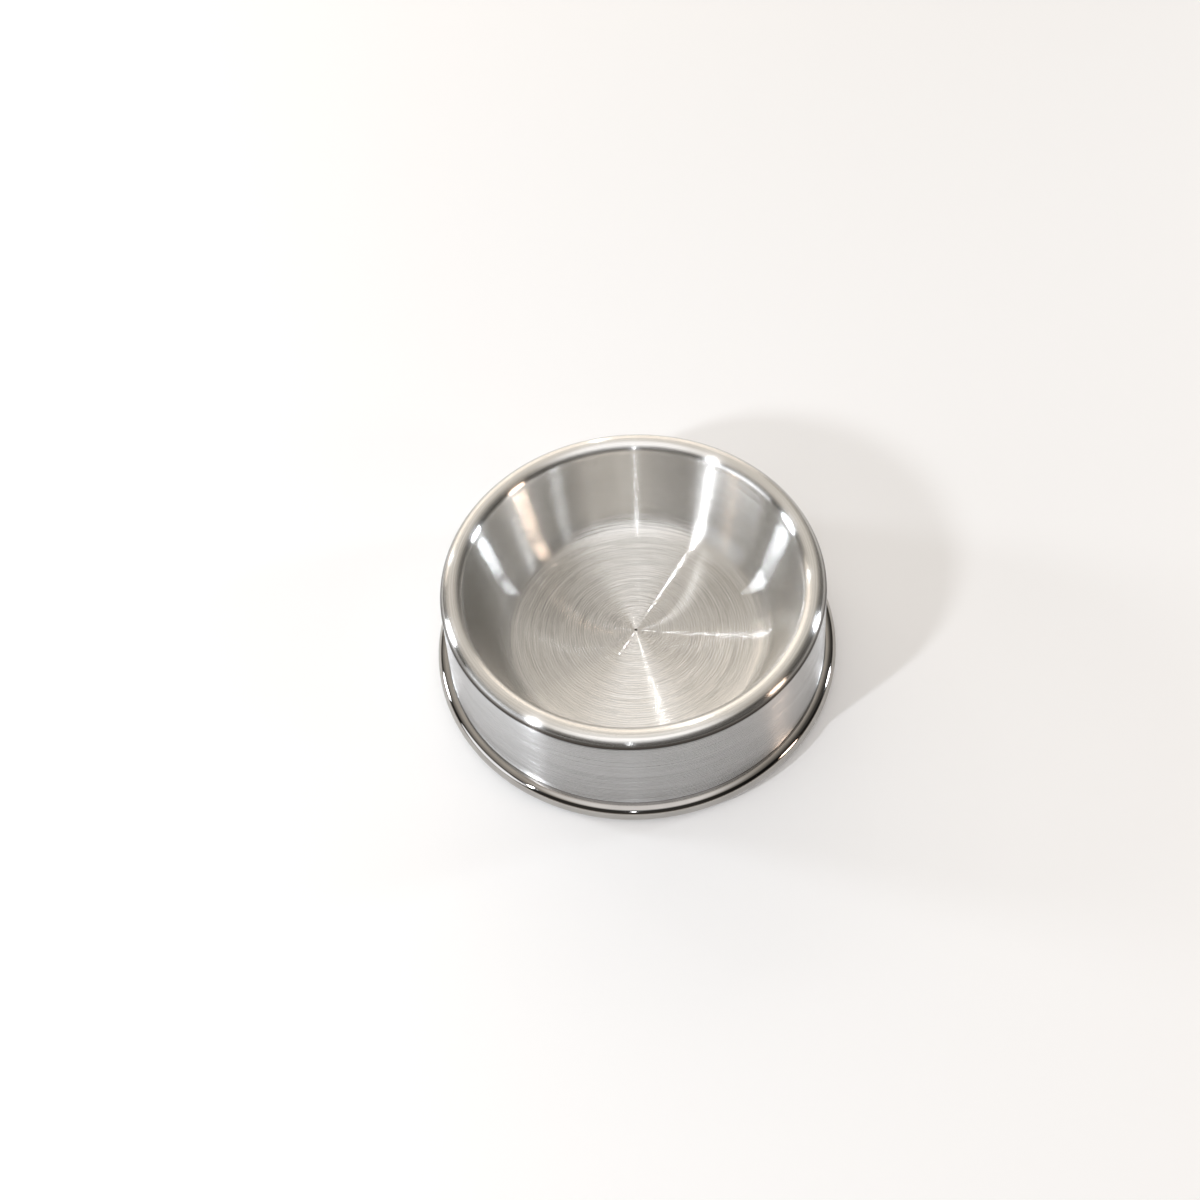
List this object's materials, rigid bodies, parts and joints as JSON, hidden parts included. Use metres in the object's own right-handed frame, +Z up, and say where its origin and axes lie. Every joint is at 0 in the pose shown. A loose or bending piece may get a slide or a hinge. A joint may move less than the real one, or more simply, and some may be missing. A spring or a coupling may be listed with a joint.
{
  "type": "dog bowl",
  "caption": "Round double-wall dog bowl of satin aluminium with a rolled rim, a conical outer skirt, a polished base bead and a rubber non-slip ring underneath.",
  "frame": {"origin": "on the bowl's axis, at the level of the floor it stands on", "axes": "+Z up along the axis of revolution; X and Y are free, as the bowl is round"},
  "size_m": [0.22, 0.22, 0.0655],
  "materials": {
    "bowl": "satin, brushed in circles",
    "skirt": "satin, brushed round the axis",
    "bead": "mirror polished",
    "rubber": "matt moulded"
  },
  "bodies": {
    "root": {"feeding_bowl": "bowl", "outer_skirt": "skirt", "base_ring": "bead", "non_slip_ring": "rubber"}
  },
  "joints": []
}
